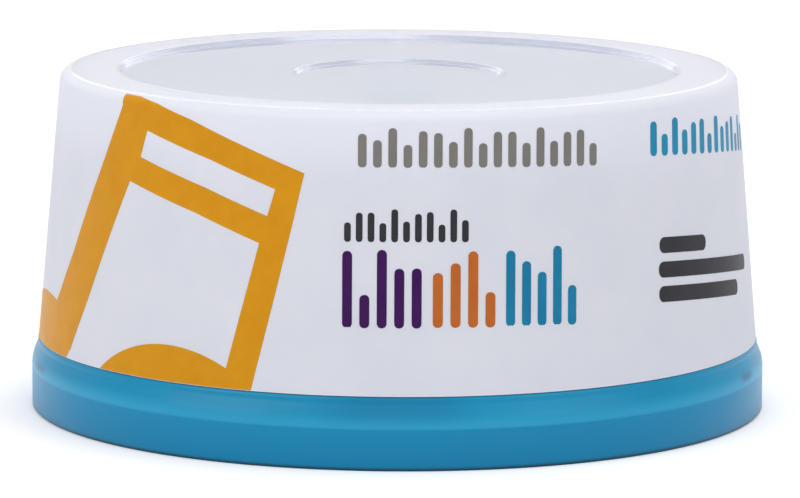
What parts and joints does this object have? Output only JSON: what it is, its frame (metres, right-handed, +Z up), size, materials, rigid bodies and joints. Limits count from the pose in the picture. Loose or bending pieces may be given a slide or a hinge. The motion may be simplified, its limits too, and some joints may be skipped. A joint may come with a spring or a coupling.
{
  "type": "spindle pack of compact discs",
  "caption": "Round stack of compact discs on a spindle base, under a clear tapered cover with a printed wrap round its wall; the cover lifts off the tinted base.",
  "frame": {"origin": "centre of the base's foot ring, on the surface that the pack stands on", "axes": "+Z up along the spindle, -Y towards the front of the printed wrap, +X to the front's right"},
  "size_m": [0.137, 0.137, 0.0632],
  "materials": {
    "tinted_plastic": "polished moulding in blue-tinted clear polystyrene",
    "clear_cover_plastic": "polished moulding in clear polystyrene",
    "printed_film": "pearl white film with printed colours",
    "metallised_disc": "polycarbonate with a reflective metal layer under lacquer",
    "clear_disc_plastic": "clear polycarbonate"
  },
  "bodies": {
    "loaded_base": {"base": "tinted_plastic", "lower_guard_disc": "clear_disc_plastic", "disc_01": "metallised_disc", "disc_02": "metallised_disc", "disc_03": "metallised_disc", "disc_04": "metallised_disc", "disc_05": "metallised_disc", "disc_06": "metallised_disc", "disc_07": "metallised_disc", "disc_08": "metallised_disc", "disc_09": "metallised_disc", "disc_10": "metallised_disc", "disc_11": "metallised_disc", "disc_12": "metallised_disc", "disc_13": "metallised_disc", "disc_14": "metallised_disc", "disc_15": "metallised_disc", "disc_16": "metallised_disc", "disc_17": "metallised_disc", "disc_18": "metallised_disc", "disc_19": "metallised_disc", "disc_20": "metallised_disc", "disc_21": "metallised_disc", "disc_22": "metallised_disc", "disc_23": "metallised_disc", "disc_24": "metallised_disc", "disc_25": "metallised_disc", "disc_26": "metallised_disc", "disc_27": "metallised_disc", "disc_28": "metallised_disc", "disc_29": "metallised_disc", "disc_30": "metallised_disc", "upper_guard_disc": "clear_disc_plastic"},
    "lifting_cover": {"cover": "clear_cover_plastic", "printed_wrap": "printed_film"}
  },
  "joints": [
    {"name": "cover_lift", "type": "slide", "parent": "loaded_base", "child": "lifting_cover", "axis": [0, 0, 1], "range_m": [0, 0.07]}
  ]
}
